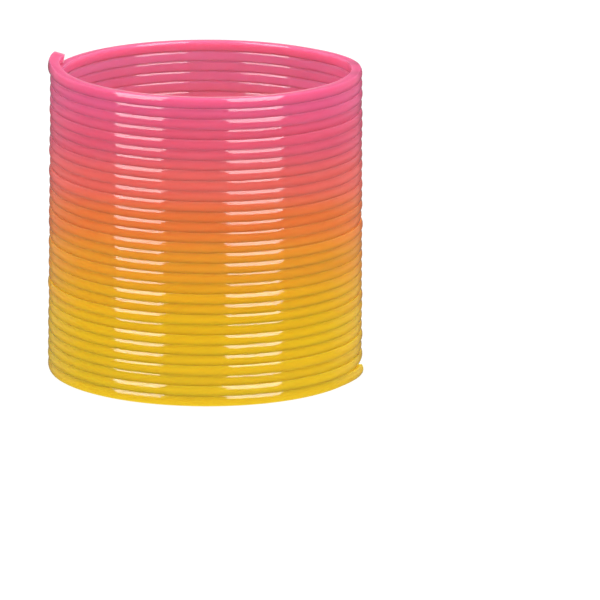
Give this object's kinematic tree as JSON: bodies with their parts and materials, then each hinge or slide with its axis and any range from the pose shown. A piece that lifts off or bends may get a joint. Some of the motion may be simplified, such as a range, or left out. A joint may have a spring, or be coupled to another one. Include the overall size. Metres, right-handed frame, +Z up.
{
  "type": "spring coil toy",
  "caption": "Closed upright coil of glossy plastic strip, a pocket-size walking-spring toy that stretches and arches over, coloured from pink down to amber.",
  "frame": {"origin": "where the coil's axis meets the surface it stands on, at the centre of the bottom of its box", "axes": "+Z up along the coil's axis; +X towards the side where each turn climbs to the next, where the strip's lower end lies; the strip's upper end lies near -X"},
  "size_m": [0.065, 0.065, 0.0651],
  "materials": {
    "amber": "glossy, faintly see-through plastic strip",
    "yellow_orange": "glossy, faintly see-through plastic strip",
    "orange": "glossy, faintly see-through plastic strip",
    "coral": "glossy, faintly see-through plastic strip",
    "pink": "glossy, faintly see-through plastic strip"
  },
  "bodies": {
    "turn_01": {"turn_01": "amber"},
    "flex_01": {"flex_01": "amber"},
    "turn_02": {"turn_02": "amber"},
    "flex_02": {"flex_02": "amber"},
    "turn_03": {"turn_03": "amber"},
    "flex_03": {"flex_03": "amber"},
    "turn_04": {"turn_04": "amber"},
    "flex_04": {"flex_04": "amber"},
    "turn_05": {"turn_05": "amber"},
    "flex_05": {"flex_05": "amber"},
    "turn_06": {"turn_06": "amber"},
    "flex_06": {"flex_06": "amber"},
    "turn_07": {"turn_07": "amber"},
    "flex_07": {"flex_07": "amber"},
    "turn_08": {"turn_08": "yellow_orange"},
    "flex_08": {"flex_08": "yellow_orange"},
    "turn_09": {"turn_09": "yellow_orange"},
    "flex_09": {"flex_09": "yellow_orange"},
    "turn_10": {"turn_10": "yellow_orange"},
    "flex_10": {"flex_10": "yellow_orange"},
    "turn_11": {"turn_11": "yellow_orange"},
    "flex_11": {"flex_11": "yellow_orange"},
    "turn_12": {"turn_12": "yellow_orange"},
    "flex_12": {"flex_12": "yellow_orange"},
    "turn_13": {"turn_13": "orange"},
    "flex_13": {"flex_13": "orange"},
    "turn_14": {"turn_14": "orange"},
    "flex_14": {"flex_14": "orange"},
    "turn_15": {"turn_15": "orange"},
    "flex_15": {"flex_15": "orange"},
    "turn_16": {"turn_16": "orange"},
    "flex_16": {"flex_16": "orange"},
    "turn_17": {"turn_17": "orange"},
    "flex_17": {"flex_17": "orange"},
    "turn_18": {"turn_18": "coral"},
    "flex_18": {"flex_18": "coral"},
    "turn_19": {"turn_19": "coral"},
    "flex_19": {"flex_19": "coral"},
    "turn_20": {"turn_20": "coral"},
    "flex_20": {"flex_20": "coral"},
    "turn_21": {"turn_21": "coral"},
    "flex_21": {"flex_21": "coral"},
    "turn_22": {"turn_22": "coral"},
    "flex_22": {"flex_22": "coral"},
    "turn_23": {"turn_23": "pink"},
    "flex_23": {"flex_23": "pink"},
    "turn_24": {"turn_24": "pink"},
    "flex_24": {"flex_24": "pink"},
    "turn_25": {"turn_25": "pink"},
    "flex_25": {"flex_25": "pink"},
    "turn_26": {"turn_26": "pink"},
    "flex_26": {"flex_26": "pink"},
    "turn_27": {"turn_27": "pink"},
    "flex_27": {"flex_27": "pink"},
    "turn_28": {"turn_28": "pink"},
    "flex_28": {"flex_28": "pink"},
    "turn_29": {"turn_29": "pink"},
    "flex_29": {"flex_29": "pink"},
    "turn_30": {"turn_30": "pink"}
  },
  "joints": [
    {"name": "stretch", "type": "slide", "parent": "turn_01", "child": "flex_01", "axis": [0, 0, 1], "range_m": [0, 0.012], "stiffness_N_per_m": 15.7},
    {"name": "arch", "type": "hinge", "parent": "flex_01", "child": "turn_02", "pos_m": [0.0325, 0, 0.00398], "axis": [0, 1, 0], "range_deg": [0, 6], "stiffness_Nm_per_rad": 0.03},
    {"name": "stretch_02", "type": "slide", "parent": "turn_02", "child": "flex_02", "axis": [0, 0, 1], "range_m": [0, 0.012], "stiffness_N_per_m": 15.7},
    {"name": "arch_02", "type": "hinge", "parent": "flex_02", "child": "turn_03", "pos_m": [0.0325, 0, 0.00614], "axis": [0, 1, 0], "range_deg": [0, 6], "stiffness_Nm_per_rad": 0.03},
    {"name": "stretch_03", "type": "slide", "parent": "turn_03", "child": "flex_03", "axis": [0, 0, 1], "range_m": [0, 0.012], "stiffness_N_per_m": 15.7},
    {"name": "arch_03", "type": "hinge", "parent": "flex_03", "child": "turn_04", "pos_m": [0.0325, 0, 0.0083], "axis": [0, 1, 0], "range_deg": [0, 6], "stiffness_Nm_per_rad": 0.03},
    {"name": "stretch_04", "type": "slide", "parent": "turn_04", "child": "flex_04", "axis": [0, 0, 1], "range_m": [0, 0.012], "stiffness_N_per_m": 15.7},
    {"name": "arch_04", "type": "hinge", "parent": "flex_04", "child": "turn_05", "pos_m": [0.0325, 0, 0.01046], "axis": [0, 1, 0], "range_deg": [0, 6], "stiffness_Nm_per_rad": 0.03},
    {"name": "stretch_05", "type": "slide", "parent": "turn_05", "child": "flex_05", "axis": [0, 0, 1], "range_m": [0, 0.012], "stiffness_N_per_m": 15.7},
    {"name": "arch_05", "type": "hinge", "parent": "flex_05", "child": "turn_06", "pos_m": [0.0325, 0, 0.01263], "axis": [0, 1, 0], "range_deg": [0, 6], "stiffness_Nm_per_rad": 0.03},
    {"name": "stretch_06", "type": "slide", "parent": "turn_06", "child": "flex_06", "axis": [0, 0, 1], "range_m": [0, 0.012], "stiffness_N_per_m": 15.7},
    {"name": "arch_06", "type": "hinge", "parent": "flex_06", "child": "turn_07", "pos_m": [0.0325, 0, 0.01479], "axis": [0, 1, 0], "range_deg": [0, 6], "stiffness_Nm_per_rad": 0.03},
    {"name": "stretch_07", "type": "slide", "parent": "turn_07", "child": "flex_07", "axis": [0, 0, 1], "range_m": [0, 0.012], "stiffness_N_per_m": 15.7},
    {"name": "arch_07", "type": "hinge", "parent": "flex_07", "child": "turn_08", "pos_m": [0.0325, 0, 0.01695], "axis": [0, 1, 0], "range_deg": [0, 6], "stiffness_Nm_per_rad": 0.03},
    {"name": "stretch_08", "type": "slide", "parent": "turn_08", "child": "flex_08", "axis": [0, 0, 1], "range_m": [0, 0.012], "stiffness_N_per_m": 15.7},
    {"name": "arch_08", "type": "hinge", "parent": "flex_08", "child": "turn_09", "pos_m": [0.0325, 0, 0.01911], "axis": [0, 1, 0], "range_deg": [0, 6], "stiffness_Nm_per_rad": 0.03},
    {"name": "stretch_09", "type": "slide", "parent": "turn_09", "child": "flex_09", "axis": [0, 0, 1], "range_m": [0, 0.012], "stiffness_N_per_m": 15.7},
    {"name": "arch_09", "type": "hinge", "parent": "flex_09", "child": "turn_10", "pos_m": [0.0325, 0, 0.02128], "axis": [0, 1, 0], "range_deg": [0, 6], "stiffness_Nm_per_rad": 0.03},
    {"name": "stretch_10", "type": "slide", "parent": "turn_10", "child": "flex_10", "axis": [0, 0, 1], "range_m": [0, 0.012], "stiffness_N_per_m": 15.7},
    {"name": "arch_10", "type": "hinge", "parent": "flex_10", "child": "turn_11", "pos_m": [0.0325, 0, 0.02344], "axis": [0, 1, 0], "range_deg": [0, 6], "stiffness_Nm_per_rad": 0.03},
    {"name": "stretch_11", "type": "slide", "parent": "turn_11", "child": "flex_11", "axis": [0, 0, 1], "range_m": [0, 0.012], "stiffness_N_per_m": 15.7},
    {"name": "arch_11", "type": "hinge", "parent": "flex_11", "child": "turn_12", "pos_m": [0.0325, 0, 0.0256], "axis": [0, 1, 0], "range_deg": [0, 6], "stiffness_Nm_per_rad": 0.03},
    {"name": "stretch_12", "type": "slide", "parent": "turn_12", "child": "flex_12", "axis": [0, 0, 1], "range_m": [0, 0.012], "stiffness_N_per_m": 15.7},
    {"name": "arch_12", "type": "hinge", "parent": "flex_12", "child": "turn_13", "pos_m": [0.0325, 0, 0.02777], "axis": [0, 1, 0], "range_deg": [0, 6], "stiffness_Nm_per_rad": 0.03},
    {"name": "stretch_13", "type": "slide", "parent": "turn_13", "child": "flex_13", "axis": [0, 0, 1], "range_m": [0, 0.012], "stiffness_N_per_m": 15.7},
    {"name": "arch_13", "type": "hinge", "parent": "flex_13", "child": "turn_14", "pos_m": [0.0325, 0, 0.02993], "axis": [0, 1, 0], "range_deg": [0, 6], "stiffness_Nm_per_rad": 0.03},
    {"name": "stretch_14", "type": "slide", "parent": "turn_14", "child": "flex_14", "axis": [0, 0, 1], "range_m": [0, 0.012], "stiffness_N_per_m": 15.7},
    {"name": "arch_14", "type": "hinge", "parent": "flex_14", "child": "turn_15", "pos_m": [0.0325, 0, 0.03209], "axis": [0, 1, 0], "range_deg": [0, 6], "stiffness_Nm_per_rad": 0.03},
    {"name": "stretch_15", "type": "slide", "parent": "turn_15", "child": "flex_15", "axis": [0, 0, 1], "range_m": [0, 0.012], "stiffness_N_per_m": 15.7},
    {"name": "arch_15", "type": "hinge", "parent": "flex_15", "child": "turn_16", "pos_m": [0.0325, 0, 0.03426], "axis": [0, 1, 0], "range_deg": [0, 6], "stiffness_Nm_per_rad": 0.03},
    {"name": "stretch_16", "type": "slide", "parent": "turn_16", "child": "flex_16", "axis": [0, 0, 1], "range_m": [0, 0.012], "stiffness_N_per_m": 15.7},
    {"name": "arch_16", "type": "hinge", "parent": "flex_16", "child": "turn_17", "pos_m": [0.0325, 0, 0.03642], "axis": [0, 1, 0], "range_deg": [0, 6], "stiffness_Nm_per_rad": 0.03},
    {"name": "stretch_17", "type": "slide", "parent": "turn_17", "child": "flex_17", "axis": [0, 0, 1], "range_m": [0, 0.012], "stiffness_N_per_m": 15.7},
    {"name": "arch_17", "type": "hinge", "parent": "flex_17", "child": "turn_18", "pos_m": [0.0325, 0, 0.03858], "axis": [0, 1, 0], "range_deg": [0, 6], "stiffness_Nm_per_rad": 0.03},
    {"name": "stretch_18", "type": "slide", "parent": "turn_18", "child": "flex_18", "axis": [0, 0, 1], "range_m": [0, 0.012], "stiffness_N_per_m": 15.7},
    {"name": "arch_18", "type": "hinge", "parent": "flex_18", "child": "turn_19", "pos_m": [0.0325, 0, 0.04075], "axis": [0, 1, 0], "range_deg": [0, 6], "stiffness_Nm_per_rad": 0.03},
    {"name": "stretch_19", "type": "slide", "parent": "turn_19", "child": "flex_19", "axis": [0, 0, 1], "range_m": [0, 0.012], "stiffness_N_per_m": 15.7},
    {"name": "arch_19", "type": "hinge", "parent": "flex_19", "child": "turn_20", "pos_m": [0.0325, 0, 0.04291], "axis": [0, 1, 0], "range_deg": [0, 6], "stiffness_Nm_per_rad": 0.03},
    {"name": "stretch_20", "type": "slide", "parent": "turn_20", "child": "flex_20", "axis": [0, 0, 1], "range_m": [0, 0.012], "stiffness_N_per_m": 15.7},
    {"name": "arch_20", "type": "hinge", "parent": "flex_20", "child": "turn_21", "pos_m": [0.0325, 0, 0.04507], "axis": [0, 1, 0], "range_deg": [0, 6], "stiffness_Nm_per_rad": 0.03},
    {"name": "stretch_21", "type": "slide", "parent": "turn_21", "child": "flex_21", "axis": [0, 0, 1], "range_m": [0, 0.012], "stiffness_N_per_m": 15.7},
    {"name": "arch_21", "type": "hinge", "parent": "flex_21", "child": "turn_22", "pos_m": [0.0325, 0, 0.04724], "axis": [0, 1, 0], "range_deg": [0, 6], "stiffness_Nm_per_rad": 0.03},
    {"name": "stretch_22", "type": "slide", "parent": "turn_22", "child": "flex_22", "axis": [0, 0, 1], "range_m": [0, 0.012], "stiffness_N_per_m": 15.7},
    {"name": "arch_22", "type": "hinge", "parent": "flex_22", "child": "turn_23", "pos_m": [0.0325, 0, 0.0494], "axis": [0, 1, 0], "range_deg": [0, 6], "stiffness_Nm_per_rad": 0.03},
    {"name": "stretch_23", "type": "slide", "parent": "turn_23", "child": "flex_23", "axis": [0, 0, 1], "range_m": [0, 0.012], "stiffness_N_per_m": 15.7},
    {"name": "arch_23", "type": "hinge", "parent": "flex_23", "child": "turn_24", "pos_m": [0.0325, 0, 0.05156], "axis": [0, 1, 0], "range_deg": [0, 6], "stiffness_Nm_per_rad": 0.03},
    {"name": "stretch_24", "type": "slide", "parent": "turn_24", "child": "flex_24", "axis": [0, 0, 1], "range_m": [0, 0.012], "stiffness_N_per_m": 15.7},
    {"name": "arch_24", "type": "hinge", "parent": "flex_24", "child": "turn_25", "pos_m": [0.0325, 0, 0.05373], "axis": [0, 1, 0], "range_deg": [0, 6], "stiffness_Nm_per_rad": 0.03},
    {"name": "stretch_25", "type": "slide", "parent": "turn_25", "child": "flex_25", "axis": [0, 0, 1], "range_m": [0, 0.012], "stiffness_N_per_m": 15.7},
    {"name": "arch_25", "type": "hinge", "parent": "flex_25", "child": "turn_26", "pos_m": [0.0325, 0, 0.05589], "axis": [0, 1, 0], "range_deg": [0, 6], "stiffness_Nm_per_rad": 0.03},
    {"name": "stretch_26", "type": "slide", "parent": "turn_26", "child": "flex_26", "axis": [0, 0, 1], "range_m": [0, 0.012], "stiffness_N_per_m": 15.7},
    {"name": "arch_26", "type": "hinge", "parent": "flex_26", "child": "turn_27", "pos_m": [0.0325, 0, 0.05805], "axis": [0, 1, 0], "range_deg": [0, 6], "stiffness_Nm_per_rad": 0.03},
    {"name": "stretch_27", "type": "slide", "parent": "turn_27", "child": "flex_27", "axis": [0, 0, 1], "range_m": [0, 0.012], "stiffness_N_per_m": 15.7},
    {"name": "arch_27", "type": "hinge", "parent": "flex_27", "child": "turn_28", "pos_m": [0.0325, 0, 0.06021], "axis": [0, 1, 0], "range_deg": [0, 6], "stiffness_Nm_per_rad": 0.03},
    {"name": "stretch_28", "type": "slide", "parent": "turn_28", "child": "flex_28", "axis": [0, 0, 1], "range_m": [0, 0.012], "stiffness_N_per_m": 15.7},
    {"name": "arch_28", "type": "hinge", "parent": "flex_28", "child": "turn_29", "pos_m": [0.0325, 0, 0.06237], "axis": [0, 1, 0], "range_deg": [0, 6], "stiffness_Nm_per_rad": 0.03},
    {"name": "stretch_29", "type": "slide", "parent": "turn_29", "child": "flex_29", "axis": [0, 0, 1], "range_m": [0, 0.012], "stiffness_N_per_m": 15.7},
    {"name": "arch_29", "type": "hinge", "parent": "flex_29", "child": "turn_30", "pos_m": [0.0325, 0, 0.06453], "axis": [0, 1, 0], "range_deg": [0, 6], "stiffness_Nm_per_rad": 0.03}
  ],
  "couplings": [
    {"joint": "stretch_02", "follows": "stretch", "ratio": 1},
    {"joint": "arch_02", "follows": "arch", "ratio": 1},
    {"joint": "stretch_03", "follows": "stretch", "ratio": 1},
    {"joint": "arch_03", "follows": "arch", "ratio": 1},
    {"joint": "stretch_04", "follows": "stretch", "ratio": 1},
    {"joint": "arch_04", "follows": "arch", "ratio": 1},
    {"joint": "stretch_05", "follows": "stretch", "ratio": 1},
    {"joint": "arch_05", "follows": "arch", "ratio": 1},
    {"joint": "stretch_06", "follows": "stretch", "ratio": 1},
    {"joint": "arch_06", "follows": "arch", "ratio": 1},
    {"joint": "stretch_07", "follows": "stretch", "ratio": 1},
    {"joint": "arch_07", "follows": "arch", "ratio": 1},
    {"joint": "stretch_08", "follows": "stretch", "ratio": 1},
    {"joint": "arch_08", "follows": "arch", "ratio": 1},
    {"joint": "stretch_09", "follows": "stretch", "ratio": 1},
    {"joint": "arch_09", "follows": "arch", "ratio": 1},
    {"joint": "stretch_10", "follows": "stretch", "ratio": 1},
    {"joint": "arch_10", "follows": "arch", "ratio": 1},
    {"joint": "stretch_11", "follows": "stretch", "ratio": 1},
    {"joint": "arch_11", "follows": "arch", "ratio": 1},
    {"joint": "stretch_12", "follows": "stretch", "ratio": 1},
    {"joint": "arch_12", "follows": "arch", "ratio": 1},
    {"joint": "stretch_13", "follows": "stretch", "ratio": 1},
    {"joint": "arch_13", "follows": "arch", "ratio": 1},
    {"joint": "stretch_14", "follows": "stretch", "ratio": 1},
    {"joint": "arch_14", "follows": "arch", "ratio": 1},
    {"joint": "stretch_15", "follows": "stretch", "ratio": 1},
    {"joint": "arch_15", "follows": "arch", "ratio": 1},
    {"joint": "stretch_16", "follows": "stretch", "ratio": 1},
    {"joint": "arch_16", "follows": "arch", "ratio": 1},
    {"joint": "stretch_17", "follows": "stretch", "ratio": 1},
    {"joint": "arch_17", "follows": "arch", "ratio": 1},
    {"joint": "stretch_18", "follows": "stretch", "ratio": 1},
    {"joint": "arch_18", "follows": "arch", "ratio": 1},
    {"joint": "stretch_19", "follows": "stretch", "ratio": 1},
    {"joint": "arch_19", "follows": "arch", "ratio": 1},
    {"joint": "stretch_20", "follows": "stretch", "ratio": 1},
    {"joint": "arch_20", "follows": "arch", "ratio": 1},
    {"joint": "stretch_21", "follows": "stretch", "ratio": 1},
    {"joint": "arch_21", "follows": "arch", "ratio": 1},
    {"joint": "stretch_22", "follows": "stretch", "ratio": 1},
    {"joint": "arch_22", "follows": "arch", "ratio": 1},
    {"joint": "stretch_23", "follows": "stretch", "ratio": 1},
    {"joint": "arch_23", "follows": "arch", "ratio": 1},
    {"joint": "stretch_24", "follows": "stretch", "ratio": 1},
    {"joint": "arch_24", "follows": "arch", "ratio": 1},
    {"joint": "stretch_25", "follows": "stretch", "ratio": 1},
    {"joint": "arch_25", "follows": "arch", "ratio": 1},
    {"joint": "stretch_26", "follows": "stretch", "ratio": 1},
    {"joint": "arch_26", "follows": "arch", "ratio": 1},
    {"joint": "stretch_27", "follows": "stretch", "ratio": 1},
    {"joint": "arch_27", "follows": "arch", "ratio": 1},
    {"joint": "stretch_28", "follows": "stretch", "ratio": 1},
    {"joint": "arch_28", "follows": "arch", "ratio": 1},
    {"joint": "stretch_29", "follows": "stretch", "ratio": 1},
    {"joint": "arch_29", "follows": "arch", "ratio": 1}
  ]
}
